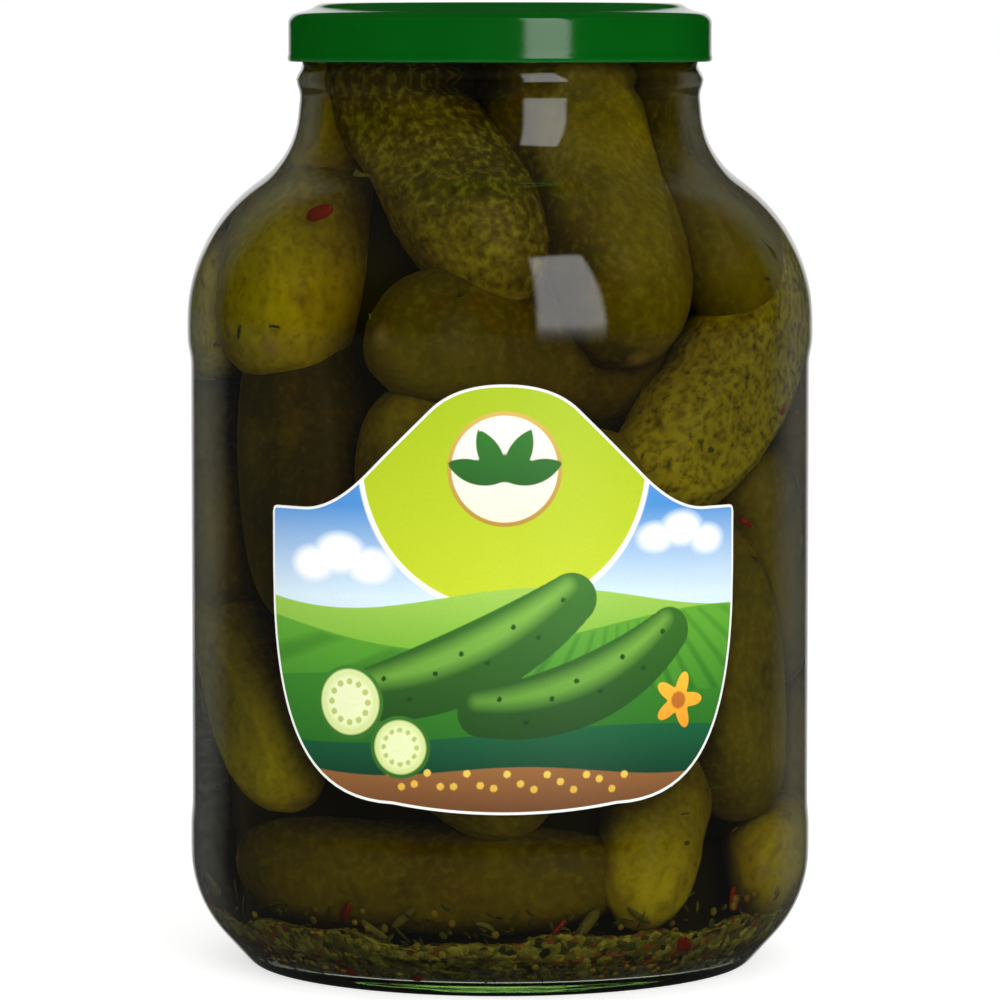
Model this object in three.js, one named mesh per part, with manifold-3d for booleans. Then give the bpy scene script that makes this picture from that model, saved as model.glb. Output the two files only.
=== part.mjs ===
// A tall shop jar of gherkins in brine: a round glass jar, its pressed tinplate twist cap,
// the die-cut paper label on its front, and the heap of gherkins that fills it.
// Millimetres, +Z up. The origin is the middle of the base, and the label faces -Y.
import * as THREE from "three";
import { mergeVertices } from "three/addons/utils/BufferGeometryUtils.js";
import Module from "manifold-3d";

const wasm = await Module();
wasm.setup();

// Driving dimensions of the glass
const SEGMENTS = 48;
const OUTSIDE_STEPS = 5; // facets along the heel's arc
const INSIDE_STEPS = 4;
const WALL = 3.3;
const BODY_RADIUS = 83; // the two rings that touch the next jar on a shelf
const HEEL_RADIUS = 82.5;
const PANEL_RADIUS = 82.1; // the band between them, set back for the label
const PANEL_BOTTOM = 38.5;
const PANEL_TOP = 164.5;
const PANEL_RAMP = 3;
const SHOULDER_START = 171;
const SHOULDER_ARC = 45;
const SHOULDER_SWEEP = 55.5; // degrees that the shoulder turns before it swings up into the neck
const NECK_ARC = 23.5;
const HEEL_ARC = 32;
const HEEL_SWEEP = 42;
const HEEL_HEIGHT = 30;
const BEARING_ARC = 3.5;
const BEARING_FLAT = 1.6; // width of the flat ring that the jar stands on
const PUSH_UP = 4.5; // how far the middle of the base is domed in
const PUSH_UP_EDGE = 6; // from the bearing ring to where the dome starts
const FLOOR_THICKNESS = 4.6;
const BEAD_BOTTOM = 232.6;
const BEAD_TOP = 236.4;
const BEAD_RADIUS = 54.2;
const BEAD_ROUND = 1;
const FINISH_RADIUS = 52.2;
const BORE_RADIUS = 49.4;
const LIP_HEIGHT = 251.4;
const LIP_ROUND = 1.2;

// Driving dimensions of the cap
const CAP_RADIUS = 56.2;
const CAP_BOTTOM = 239;
const CAP_WALL = 0.8;
const CURL = 1.8; // height of the rolled lower edge
const CURL_GROOVE = 0.2; // depth of the line above it
const CAP_UNDERSIDE = 251.8;
const CAP_CORNER_HEIGHT = 250.2;
const CAP_CORNER = 1.5; // height of the skirt's rounded top corner
const STEP_RADIUS = 53.2;
const STEP_HEIGHT = 252.8;
const STACK_RING_RADIUS = 49; // outer side of the raised ring that the next jar stands in
const STACK_RING_WIDTH = 5;
const CAP_TOP = 254.5;
const CAP_ROUND = 0.5; // rounding where one flat of the cap turns into the next
const CAP_PANEL_HEIGHT = 253.1;
const BUTTON_RADIUS = 14; // the safety button in the middle
const BUTTON_SLOPE = 2;
const BUTTON_RISE = 0.5;

// Driving dimensions of the label, as it lies flat: across from its middle, and height on the jar
const LABEL_GAP = 0.3;
const LABEL_THICKNESS = 0.4;
const LABEL_CENTRE = 1.2; // how far its middle sits to the right of the jar's front
const LABEL_HALF_WIDTH = 65.8;
const LABEL_BOTTOM = 49.2;
const LABEL_SHOULDER = 126.2;
const LABEL_TOP = 158.4;
const DOME_HALF_WIDTH = 19; // where the domed top runs out into its slopes
const DOME_DROP = 6.4;
const SLOPE_HALF_WIDTH = 36; // where the slope starts to flare
const SLOPE_RISE = 9.4;
const EAR_START = 55; // where the flare turns level
const EAR_CORNER = 1.8;
const EAR_DEPTH = 16;
const FOOT_HALF_WIDTH = 29; // where the side's curve reaches the foot
const FOOT_RISE = 2.2;
const SIDE_PULL = 30; // how far the side holds its line before it turns in, and the foot its own
const LABEL_CURVE_STEPS = 8;

// The heap: a plain core with every gherkin that shows fused on
const WALL_CLEARANCE = 0.6;
const NECK_START = 198; // above this the wall bends inwards, and long facets would cut its corner
const NECK_CLEARANCE = 3.6;
const CORE_RADIUS = 50;
const CORE_NECK_RADIUS = 24;
const CORE_BOTTOM = 12;
const CORE_TOP = 242;
const GHERKIN_SIDES = 7;
const GHERKIN_RINGS = 6;
const CORE_SEGMENTS = 12;

// Gherkins in front and at the sides, each from one end's middle to the other's, with its half
// thickness and how far its middle bows away from the jar's axis.
const FRONT_GHERKINS = [
  { from: [-25, -16, 236], to: [-2, -51, 195], girth: 18.5, bow: 2 }, // leaning out of the neck
  { from: [13, -18, 238], to: [29, -50, 179], girth: 19.5, bow: 5 }, // long, beside it
  { from: [33, 4, 234], to: [53, -26, 184], girth: 19, bow: 4 }, // right shoulder
  { from: [-32, 4, 208], to: [-46, -36, 180], girth: 20, bow: 2 }, // left shoulder, end on
  { from: [24, -28, 165], to: [-14, -58, 171], girth: 18.5, bow: 2 }, // its end faces out over the label
  { from: [-44, 26, 166], to: [-62, -15, 174], girth: 16, bow: 4 }, // tip at the left edge
  { from: [-43, -38, 160], to: [-47, -40, 112], girth: 18, bow: 1 }, // upright, left of the label
  { from: [61, -10, 178], to: [38, -47, 136], girth: 18.5, bow: 6 }, // slanting, right of the label
  { from: [-61, -8, 142], to: [-60, -18, 104], girth: 17, bow: 2 }, // left side
  { from: [59, -24, 124], to: [62, -10, 92], girth: 16.5, bow: 2 }, // right side
  { from: [-61, -6, 92], to: [-52, -37, 57], girth: 16, bow: 3 }, // yellow tip, lower left
  { from: [50, -38, 104], to: [55, -30, 58], girth: 17, bow: 2 }, // lower right
  { from: [-57, -30, 28], to: [20, -56, 27], girth: 16.5, bow: 12 }, // lying along the heel
  { from: [30, -32, 66], to: [39, -51, 29], girth: 15, bow: 1 }, // yellow end beside it
  { from: [46, 26, 34], to: [61, -22, 30], girth: 15, bow: 5 }, // right heel
  { from: [-18, -57, 140], to: [-7, -59, 92], girth: 18, bow: 1 }, // behind the label
  { from: [22, -57, 128], to: [16, -59, 78], girth: 18, bow: 1 },
  { from: [-30, -52, 88], to: [-2, -60, 56], girth: 16.5, bow: 3 },
  { from: [-26, 20, 236], to: [-42, 34, 190], girth: 18, bow: 3 }, // behind the neck
  { from: [8, 26, 238], to: [14, 54, 192], girth: 19, bow: 3 },
];

// Gherkins round the back, in tiers of leaning ones
const BACK_TIERS = [
  { height: 42, length: 40, count: 5, lean: 26, girth: 17.5 },
  { height: 90, length: 44, count: 5, lean: -18, girth: 19 },
  { height: 136, length: 42, count: 5, lean: 22, girth: 18.5 },
  { height: 174, length: 26, count: 5, lean: -14, girth: 18.5 },
];
const BACK_FIRST = 12; // degrees past the jar's sides where the back tiers start and end

const radians = THREE.MathUtils.degToRad;

// The points of an arc about a centre, from one angle to the other in degrees
function arc(x, z, radius, start, end, steps) {
  return Array.from({ length: steps + 1 }, (_, i) => {
    const angle = radians(start + ((end - start) * i) / steps);
    return [x + radius * Math.cos(angle), z + radius * Math.sin(angle)];
  });
}

// The jar's wall from bearing ring to neck, drawn inwards by an inset, so that the same rule
// gives the outside, the inside, and the room that the heap may take.
function wallProfile(inset, steps) {
  const heelX = HEEL_RADIUS - HEEL_ARC;
  const shoulderX = BODY_RADIUS - SHOULDER_ARC;
  const sweep = radians(SHOULDER_SWEEP);
  const neckX = shoulderX + (SHOULDER_ARC + NECK_ARC) * Math.cos(sweep);
  const neckZ = SHOULDER_START + (SHOULDER_ARC + NECK_ARC) * Math.sin(sweep);
  return [
    ...arc(heelX, HEEL_HEIGHT, HEEL_ARC - inset, -HEEL_SWEEP, 0, steps),
    [HEEL_RADIUS - inset, PANEL_BOTTOM],
    [PANEL_RADIUS - inset, PANEL_BOTTOM + PANEL_RAMP],
    [PANEL_RADIUS - inset, PANEL_TOP - PANEL_RAMP],
    [BODY_RADIUS - inset, PANEL_TOP],
    ...arc(shoulderX, SHOULDER_START, SHOULDER_ARC - inset, 0, SHOULDER_SWEEP, steps + 1),
    ...arc(neckX, neckZ, NECK_ARC + inset, 180 + SHOULDER_SWEEP, 180, steps - 1).slice(1),
  ];
}

// The cone under the heel meets the bearing ring's small arc here
function bearingCentre() {
  const sweep = radians(HEEL_SWEEP);
  const coneX = HEEL_RADIUS - HEEL_ARC + HEEL_ARC * Math.cos(sweep);
  const coneZ = HEEL_HEIGHT - HEEL_ARC * Math.sin(sweep);
  const run = (coneZ - BEARING_ARC + BEARING_ARC * Math.sin(sweep)) / Math.cos(sweep);
  return coneX - run * Math.sin(sweep) - BEARING_ARC * Math.cos(sweep);
}

// The base's low dome from its middle out to a radius
function dome(radius, rise) {
  return [0, 0.6, 1].map((share) => [radius * share, rise * (1 - 0.8 * share ** 2)]);
}

function lathe(profile, segments = SEGMENTS) {
  const points = profile.map(([x, z]) => new THREE.Vector2(x, z));
  return new THREE.LatheGeometry(points, segments).rotateX(Math.PI / 2);
}

// A three.js geometry as a solid that can be joined or cut
function solid(geometry) {
  const bare = new THREE.BufferGeometry();
  bare.setAttribute("position", geometry.getAttribute("position"));
  bare.setIndex(geometry.index);
  const merged = mergeVertices(bare, 1e-3);
  return new wasm.Manifold(
    new wasm.Mesh({
      numProp: 3,
      vertProperties: merged.attributes.position.array,
      triVerts: new Uint32Array(merged.index.array),
    }),
  );
}

// The largest closed surface: pockets sealed between gherkins are filled and scraps are dropped
function largest(manifold) {
  return manifold.decompose().reduce((a, b) => (a.volume() > b.volume() ? a : b));
}

function geometryOf(manifold) {
  const mesh = manifold.getMesh();
  return new THREE.BufferGeometry()
    .setAttribute("position", new THREE.BufferAttribute(mesh.vertProperties, mesh.numProp))
    .setIndex(new THREE.BufferAttribute(mesh.triVerts, 1));
}

function part(name, geometry, color, roughness, metalness) {
  geometry.computeVertexNormals();
  const material = new THREE.MeshStandardMaterial({ color, roughness, metalness });
  const mesh = new THREE.Mesh(geometry, material);
  mesh.name = name;
  return mesh;
}

// Blown glass: one even wall with a pushed-up base, a bead under the cap and an open mouth
function jarGlass() {
  const bearing = bearingCentre();
  const outside = [
    ...dome(bearing - PUSH_UP_EDGE, PUSH_UP),
    [bearing - BEARING_FLAT, 0],
    ...arc(bearing, BEARING_ARC, BEARING_ARC, -90, -HEEL_SWEEP, 2),
    ...wallProfile(0, OUTSIDE_STEPS),
    [BORE_RADIUS + WALL, BEAD_BOTTOM - BEAD_ROUND],
    [BEAD_RADIUS, BEAD_BOTTOM + BEAD_ROUND / 2],
    [BEAD_RADIUS, BEAD_TOP - BEAD_ROUND / 2],
    [FINISH_RADIUS, BEAD_TOP + BEAD_ROUND / 2],
    [FINISH_RADIUS, LIP_HEIGHT - LIP_ROUND],
    [FINISH_RADIUS - LIP_ROUND, LIP_HEIGHT],
  ];
  const inside = [
    [BORE_RADIUS + LIP_ROUND / 2, LIP_HEIGHT],
    [BORE_RADIUS, LIP_HEIGHT - LIP_ROUND],
    ...wallProfile(WALL, INSIDE_STEPS).reverse(),
    ...dome(bearing - PUSH_UP_EDGE / 2, PUSH_UP).map(([x, z]) => [x, z + FLOOR_THICKNESS]).reverse(),
  ];
  return part("jar_glass", lathe([...outside, ...inside]), 0xcfdcc4, 0.05, 0);
}

// Pressed tinplate: a skirt with a rolled edge, a step, and a ring that the next jar stacks on
function cap() {
  const inner = CAP_RADIUS - CAP_WALL;
  const ringInside = STACK_RING_RADIUS - STACK_RING_WIDTH;
  const profile = [
    [0, CAP_UNDERSIDE],
    [inner - CAP_CORNER, CAP_UNDERSIDE],
    [inner, CAP_UNDERSIDE - CAP_CORNER],
    [inner, CAP_BOTTOM + CURL],
    [inner - CURL_GROOVE, CAP_BOTTOM],
    [CAP_RADIUS - CURL_GROOVE, CAP_BOTTOM],
    [CAP_RADIUS, CAP_BOTTOM + CURL / 4],
    [CAP_RADIUS, CAP_BOTTOM + CURL],
    [CAP_RADIUS - CURL_GROOVE, CAP_BOTTOM + CURL + CURL_GROOVE],
    [CAP_RADIUS - CURL_GROOVE, CAP_CORNER_HEIGHT],
    [CAP_RADIUS - 2 * CAP_ROUND, CAP_CORNER_HEIGHT + CAP_CORNER],
    [STEP_RADIUS, STEP_HEIGHT - CAP_ROUND / 2],
    [STEP_RADIUS - 2 * CAP_ROUND, STEP_HEIGHT],
    [STACK_RING_RADIUS + CAP_ROUND, STEP_HEIGHT + CAP_ROUND],
    [STACK_RING_RADIUS - CAP_ROUND, CAP_TOP - CAP_ROUND / 2],
    [STACK_RING_RADIUS - 3 * CAP_ROUND, CAP_TOP],
    [ringInside + 3 * CAP_ROUND, CAP_TOP],
    [ringInside, CAP_TOP - CAP_ROUND],
    [ringInside - 2 * CAP_ROUND, CAP_PANEL_HEIGHT],
    [BUTTON_RADIUS + BUTTON_SLOPE, CAP_PANEL_HEIGHT],
    [BUTTON_RADIUS, CAP_PANEL_HEIGHT + BUTTON_RISE],
    [0, CAP_PANEL_HEIGHT + BUTTON_RISE],
  ];
  return part("lid", lathe(profile), 0x06551a, 0.35, 0.1);
}

// The label's flat outline: domed top, square ears, and sides that round into a wide foot
function labelOutline() {
  const top = [DOME_HALF_WIDTH, LABEL_TOP - DOME_DROP];
  const low = [SLOPE_HALF_WIDTH, LABEL_SHOULDER + SLOPE_RISE];
  const run = (low[0] - top[0]) / (top[1] - low[1]); // across for each millimetre down the slope
  const ear = LABEL_SHOULDER - EAR_DEPTH;
  const foot = LABEL_BOTTOM + FOOT_RISE;
  const half = new THREE.Path();
  half.moveTo(0, LABEL_TOP);
  half.quadraticCurveTo(top[0] - DOME_DROP * run, LABEL_TOP, ...top);
  half.lineTo(...low);
  half.quadraticCurveTo(low[0] + SLOPE_RISE * run, LABEL_SHOULDER, EAR_START, LABEL_SHOULDER);
  half.lineTo(LABEL_HALF_WIDTH - EAR_CORNER, LABEL_SHOULDER);
  half.quadraticCurveTo(
    LABEL_HALF_WIDTH,
    LABEL_SHOULDER,
    LABEL_HALF_WIDTH,
    LABEL_SHOULDER - EAR_CORNER,
  );
  half.lineTo(LABEL_HALF_WIDTH, ear);
  half.bezierCurveTo(
    LABEL_HALF_WIDTH,
    ear - SIDE_PULL,
    FOOT_HALF_WIDTH + SIDE_PULL,
    foot,
    FOOT_HALF_WIDTH,
    foot,
  );
  half.quadraticCurveTo(FOOT_HALF_WIDTH / 2, LABEL_BOTTOM, 0, LABEL_BOTTOM);
  const right = half.getPoints(LABEL_CURVE_STEPS);
  const left = right
    .slice(1, -1)
    .reverse()
    .map((p) => new THREE.Vector2(-p.x, p.y));
  return [...right, ...left];
}

// Printed paper, wrapped round the panel: a thin tube cut to the outline as seen from the front
function label() {
  const inner = PANEL_RADIUS + LABEL_GAP;
  const outer = inner + LABEL_THICKNESS;
  const tube = lathe([
    [inner, LABEL_BOTTOM - 5],
    [outer, LABEL_BOTTOM - 5],
    [outer, LABEL_TOP + 5],
    [inner, LABEL_TOP + 5],
    [inner, LABEL_BOTTOM - 5],
  ]);
  const seen = labelOutline().map(
    (p) => new THREE.Vector2(outer * Math.sin((p.x + LABEL_CENTRE) / outer), p.y),
  );
  const cutter = new THREE.ExtrudeGeometry(new THREE.Shape(seen), {
    depth: outer + 5,
    bevelEnabled: false,
  }).rotateX(Math.PI / 2);
  return part("label", geometryOf(solid(tube).intersect(solid(cutter))), 0x9fc21a, 0.4, 0);
}

// Half thickness of a gherkin along its length, from 0 at one tip to 0 at the other
function fullness(share) {
  const away = Math.abs(2 * share - 1);
  return Math.sqrt(1 - Math.pow(away, 3.6));
}

// How far out a gherkin may reach at a height
const room = [
  ...wallProfile(WALL + WALL_CLEARANCE, INSIDE_STEPS).map(([x, z]) => [
    z > NECK_START ? x - NECK_CLEARANCE : x,
    z,
  ]),
  [BORE_RADIUS - NECK_CLEARANCE, BEAD_TOP],
];
function reachAt(height) {
  const above = room.findIndex(([, z]) => z > height);
  if (above < 0) return BORE_RADIUS - NECK_CLEARANCE;
  if (above === 0) return room[0][0];
  const [[x0, z0], [x1, z1]] = [room[above - 1], room[above]];
  return x0 + ((x1 - x0) * (height - z0)) / (z1 - z0);
}

// A gherkin that meets the glass or the jar's floor is pressed flat there
function pressed(point) {
  const height = THREE.MathUtils.clamp(point.z, CORE_BOTTOM, CORE_TOP);
  const scale = Math.min(1, reachAt(height) / Math.hypot(point.x, point.y));
  return [point.x * scale, point.y * scale, height];
}

// One gherkin as a closed body of rings between two tips
function gherkin({ from, to, girth, bow }) {
  const start = new THREE.Vector3(...from);
  const end = new THREE.Vector3(...to);
  const along = end.clone().sub(start).normalize();
  start.addScaledVector(along, -girth);
  end.addScaledVector(along, girth);
  const middle = start.clone().add(end).multiplyScalar(0.5);
  const outwards = new THREE.Vector3(middle.x, middle.y, 0).normalize();
  const side = new THREE.Vector3().crossVectors(along, outwards).normalize();
  const across = new THREE.Vector3().crossVectors(side, along).normalize();
  const positions = [];
  const centre = (share) =>
    start
      .clone()
      .lerp(end, share)
      .addScaledVector(outwards, bow * (1 - (2 * share - 1) ** 2));
  positions.push(...pressed(centre(0)));
  for (let ring = 0; ring < GHERKIN_RINGS; ring++) {
    const share = 0.5 - 0.5 * Math.cos((Math.PI * (ring + 0.75)) / (GHERKIN_RINGS + 0.5));
    const radius = girth * fullness(share);
    for (let i = 0; i < GHERKIN_SIDES; i++) {
      const angle = (2 * Math.PI * i) / GHERKIN_SIDES;
      const point = centre(share)
        .addScaledVector(side, radius * Math.cos(angle))
        .addScaledVector(across, radius * Math.sin(angle));
      positions.push(...pressed(point));
    }
  }
  positions.push(...pressed(centre(1)));
  const tip = GHERKIN_RINGS * GHERKIN_SIDES + 1;
  const index = [];
  for (let i = 0; i < GHERKIN_SIDES; i++) {
    const next = (i + 1) % GHERKIN_SIDES;
    index.push(0, 1 + i, 1 + next);
    index.push(tip, tip - GHERKIN_SIDES + next, tip - GHERKIN_SIDES + i);
    for (let ring = 0; ring < GHERKIN_RINGS - 1; ring++) {
      const low = 1 + ring * GHERKIN_SIDES;
      const high = low + GHERKIN_SIDES;
      index.push(low + i, high + i, low + next);
      index.push(low + next, high + i, high + next);
    }
  }
  return new THREE.BufferGeometry()
    .setAttribute("position", new THREE.Float32BufferAttribute(positions, 3))
    .setIndex(index);
}

// The back tiers: upright gherkins against the wall, leaning left and right by turns
function backGherkins() {
  return BACK_TIERS.flatMap(({ height, length, count, lean, girth }, tier) =>
    Array.from({ length: count }, (_, i) => {
      const span = 180 - 2 * BACK_FIRST;
      const angle = radians(BACK_FIRST + (span * (i + (tier % 2 ? 0.5 : 0.2))) / count);
      const tilt = radians(lean * (i % 2 ? 1 : -0.6));
      const reach = PANEL_RADIUS - WALL - girth - 2;
      const rise = (length / 2) * Math.cos(tilt);
      const slide = ((length / 2) * Math.sin(tilt)) / reach;
      const thick = girth * (1 - 0.12 * ((i + tier) % 3));
      const ends = [-1, 1].map((way) => [
        reach * Math.cos(angle + way * slide),
        reach * Math.sin(angle + way * slide),
        height + way * rise + 5 * (i % 2),
      ]);
      return { from: ends[1], to: ends[0], girth: thick, bow: 2 };
    }),
  );
}

// A plain core with the gherkins fused on
function gherkinHeap() {
  const core = lathe(
    [
      [0, CORE_BOTTOM],
      [CORE_RADIUS, CORE_BOTTOM],
      [CORE_RADIUS, PANEL_TOP + 12],
      [CORE_NECK_RADIUS, SHOULDER_START + SHOULDER_ARC],
      [CORE_NECK_RADIUS, CORE_TOP],
      [0, CORE_TOP],
    ],
    CORE_SEGMENTS,
  );
  const pieces = [...FRONT_GHERKINS, ...backGherkins()].map((each) => solid(gherkin(each)));
  const joined = pieces.reduce((sum, each) => sum.add(each), solid(core));
  return part("gherkin_heap", geometryOf(largest(joined)), 0x5a5a10, 0.5, 0);
}

const jar = new THREE.Group();
jar.add(jarGlass(), cap(), label(), gherkinHeap());
export default jar;
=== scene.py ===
import math

import bpy
import numpy as np
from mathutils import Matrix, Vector


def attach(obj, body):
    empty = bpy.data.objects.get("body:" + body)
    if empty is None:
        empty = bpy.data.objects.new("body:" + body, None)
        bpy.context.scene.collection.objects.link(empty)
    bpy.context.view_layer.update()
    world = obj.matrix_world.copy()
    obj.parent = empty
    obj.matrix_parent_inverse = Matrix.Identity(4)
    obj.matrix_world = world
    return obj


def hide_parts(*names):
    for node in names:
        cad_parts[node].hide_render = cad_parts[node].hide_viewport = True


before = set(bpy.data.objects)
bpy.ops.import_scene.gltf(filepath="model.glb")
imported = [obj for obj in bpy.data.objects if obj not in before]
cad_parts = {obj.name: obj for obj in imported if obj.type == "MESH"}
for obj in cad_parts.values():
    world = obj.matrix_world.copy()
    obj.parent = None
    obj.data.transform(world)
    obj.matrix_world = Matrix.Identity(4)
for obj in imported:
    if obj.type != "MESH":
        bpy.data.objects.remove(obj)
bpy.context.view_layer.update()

# The view. The jar stands upright in the middle of the picture, seen from just below the height
# of its lid through a long lens, so its sides run nearly parallel. Lengths are in millimetres.
MM = 0.001
CAMERA_DISTANCE = 1537.5
CAMERA_HEIGHT = 244.0
CAMERA_PITCH = 4.51  # degrees below the horizon
FOCAL_LENGTH = 208.55

camera = bpy.data.objects.new("camera", bpy.data.cameras.new("camera"))
camera.data.lens = FOCAL_LENGTH
camera.location = (0, -CAMERA_DISTANCE * MM, CAMERA_HEIGHT * MM)
camera.rotation_euler = (math.radians(90 - CAMERA_PITCH), 0, 0)
bpy.context.collection.objects.link(camera)
bpy.context.scene.camera = camera
bpy.context.scene.view_settings.view_transform = "Standard"


# The jar. Soda-lime container glass, blown in a two-part mould: one even wall from the pushed-up
# base to the bead under the cap, with two rings that touch the next jar and a band set back
# between them for the label.
WALL = 3.3
BODY_RADIUS = 83
HEEL_RADIUS = 82.5
PANEL_RADIUS = 82.1
PANEL_BOTTOM = 38.5
PANEL_TOP = 164.5
PANEL_RAMP = 3
SHOULDER_START = 171
SHOULDER_ARC = 45
SHOULDER_SWEEP = 55.5  # degrees that the shoulder turns before it swings up into the neck
NECK_ARC = 23.5
HEEL_ARC = 32
HEEL_SWEEP = 42
HEEL_HEIGHT = 30
BEARING_ARC = 3.5
BEARING_FLAT = 1.6
PUSH_UP = 4.5
PUSH_UP_EDGE = 6
FLOOR_THICKNESS = 4.6
BEAD_BOTTOM = 232.6
BEAD_TOP = 236.4
BEAD_RADIUS = 54.2
BEAD_ROUND = 1
FINISH_RADIUS = 52.2
BORE_RADIUS = 49.4
LIP_HEIGHT = 251.4
LIP_ROUND = 1.2
ARC_STEPS = 16
GLASS_STEP = 1.6  # from one ring of the mesh to the next
GLASS_SEGMENTS = 160
GLASS_INDEX = 1.52  # of refraction
GLASS_TINT = "#fafcf9"
GLASS_DEPTH_TINT = "#b6eb3f"
GLASS_DENSITY = 16.0
RIPPLE = 0.02  # how deep the mould's faint waves are
RIPPLE_SPACING = 9


def linear(hex_colour):
    """An sRGB hex colour as the linear colour that a shader socket takes."""
    channels = [int(hex_colour[i : i + 2], 16) / 255 for i in (1, 3, 5)]
    return [c / 12.92 if c <= 0.04045 else ((c + 0.055) / 1.055) ** 2.4 for c in channels] + [1.0]


def node(tree, kind, inputs=(), **settings):
    """Adds a node with its settings. An input that is given a node or a socket is linked to it."""
    made = tree.nodes.new(kind)
    for name, value in settings.items():
        setattr(made, name, value)
    for name, value in dict(inputs).items():
        if isinstance(value, bpy.types.Node):
            value = value.outputs[0]
        if isinstance(value, bpy.types.NodeSocket):
            tree.links.new(value, made.inputs[name])
        else:
            made.inputs[name].default_value = value
    return made


def new_material(name):
    """An empty material, its node tree, and the place in metres that its patterns are laid out by."""
    material = bpy.data.materials.new(name)
    material.use_nodes = True
    tree = material.node_tree
    tree.nodes.clear()
    return material, tree, node(tree, "ShaderNodeTexCoord").outputs["Object"]


def add_mesh(name, vertices, faces, material, smooth=True):
    """A mesh object from points in millimetres."""
    mesh = bpy.data.meshes.new(name)
    mesh.from_pydata((np.asarray(vertices) * MM).tolist(), [], faces, shade_flat=not smooth)
    mesh.materials.append(material)
    made = bpy.data.objects.new(name, mesh)
    bpy.context.collection.objects.link(made)
    return made


def arc(x, z, radius, start, end, steps):
    """Points of an arc about a centre, from one angle to the other in degrees."""
    angles = np.radians(np.linspace(start, end, steps + 1))
    return [(x + radius * math.cos(a), z + radius * math.sin(a)) for a in angles]


def wall_profile(inset):
    """The jar's wall from the bearing ring to the neck, drawn inwards by an inset."""
    sweep = math.radians(SHOULDER_SWEEP)
    shoulder_x = BODY_RADIUS - SHOULDER_ARC
    neck_x = shoulder_x + (SHOULDER_ARC + NECK_ARC) * math.cos(sweep)
    neck_z = SHOULDER_START + (SHOULDER_ARC + NECK_ARC) * math.sin(sweep)
    heel_x = HEEL_RADIUS - HEEL_ARC
    return [
        *arc(heel_x, HEEL_HEIGHT, HEEL_ARC - inset, -HEEL_SWEEP, 0, ARC_STEPS),
        (HEEL_RADIUS - inset, PANEL_BOTTOM),
        (PANEL_RADIUS - inset, PANEL_BOTTOM + PANEL_RAMP),
        (PANEL_RADIUS - inset, PANEL_TOP - PANEL_RAMP),
        (BODY_RADIUS - inset, PANEL_TOP),
        *arc(shoulder_x, SHOULDER_START, SHOULDER_ARC - inset, 0, SHOULDER_SWEEP, ARC_STEPS),
        *arc(neck_x, neck_z, NECK_ARC + inset, 180 + SHOULDER_SWEEP, 180, ARC_STEPS)[1:],
    ]


def bearing_radius():
    """Where the cone under the heel meets the small arc that the jar stands on."""
    sweep = math.radians(HEEL_SWEEP)
    cone_x = HEEL_RADIUS - HEEL_ARC + HEEL_ARC * math.cos(sweep)
    cone_z = HEEL_HEIGHT - HEEL_ARC * math.sin(sweep)
    run = (cone_z - BEARING_ARC + BEARING_ARC * math.sin(sweep)) / math.cos(sweep)
    return cone_x - run * math.sin(sweep) - BEARING_ARC * math.cos(sweep)


def dome(radius, lift=0.0):
    """The base's low dome from its middle out to a radius."""
    return [(radius * s, lift + PUSH_UP * (1 - 0.8 * s**2)) for s in np.linspace(0, 1, 7)]


def softened(profile, step, rounds=2):
    """The profile with a point at every step, its corners rounded as glass or tin rounds them."""
    points = [profile[0]]
    for (x0, z0), (x1, z1) in zip(profile, profile[1:]):
        count = max(1, round(math.hypot(x1 - x0, z1 - z0) / step))
        shares = [i / count for i in range(1, count + 1)]
        points += [(x0 + (x1 - x0) * share, z0 + (z1 - z0) * share) for share in shares]
    points = np.array(points)
    for _ in range(rounds):
        points[1:-1] = (points[:-2] + 2 * points[1:-1] + points[2:]) / 4
    return points


def ring_quads(rings, around):
    """Faces that join each ring of so many points to the next ring."""
    here = np.arange(around)
    ahead = (here + 1) % around
    corners = np.stack([here, ahead, ahead + around, here + around], axis=-1)
    return (corners + around * np.arange(rings - 1)[:, None, None]).reshape(-1, 4)


def turned(profile, segments):
    """Vertices and faces of a profile that starts and ends on the axis, turned about it."""
    angles = 2 * np.pi * np.arange(segments) / segments
    radius, height = np.array(profile[1:-1]).T
    ring = [np.outer(radius, np.sin(angles)), -np.outer(radius, np.cos(angles))]
    ring.append(np.repeat(height[:, None], segments, axis=1))
    rings = np.stack(ring, axis=-1).reshape(-1, 3)
    vertices = np.vstack([[(0, 0, profile[0][1])], rings, [(0, 0, profile[-1][1])]])
    quads = (1 + ring_quads(len(radius), segments)).tolist()
    first = [(0, quad[1], quad[0]) for quad in quads[:segments]]
    top = len(vertices) - 1
    last = [(quad[3], quad[2], top) for quad in quads[-segments:]]
    return vertices, first + quads + last


def layered(tree, ground, layers):
    """A ground colour with others laid over it in turn, each by its share."""
    for share, over in layers:
        laid = node(tree, "ShaderNodeMix", {"Factor": share, 6: ground, 7: over}, data_type="RGBA")
        ground = laid.outputs[2]
    return ground


def finished(tree, finish):
    """Gives an opaque material its finish."""
    surface = node(tree, "ShaderNodeBsdfPrincipled", finish)
    node(tree, "ShaderNodeOutputMaterial", {"Surface": surface})


def patchy(tree, place, light, dark, size, detail):
    """Two tones in soft patches of a size in millimetres: their colour, and the patches."""
    patches = node(
        tree, "ShaderNodeTexNoise", {"Vector": place, "Scale": 1 / (size * MM), "Detail": detail}
    )
    return layered(tree, linear(light), [(patches, linear(dark))]), patches


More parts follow.
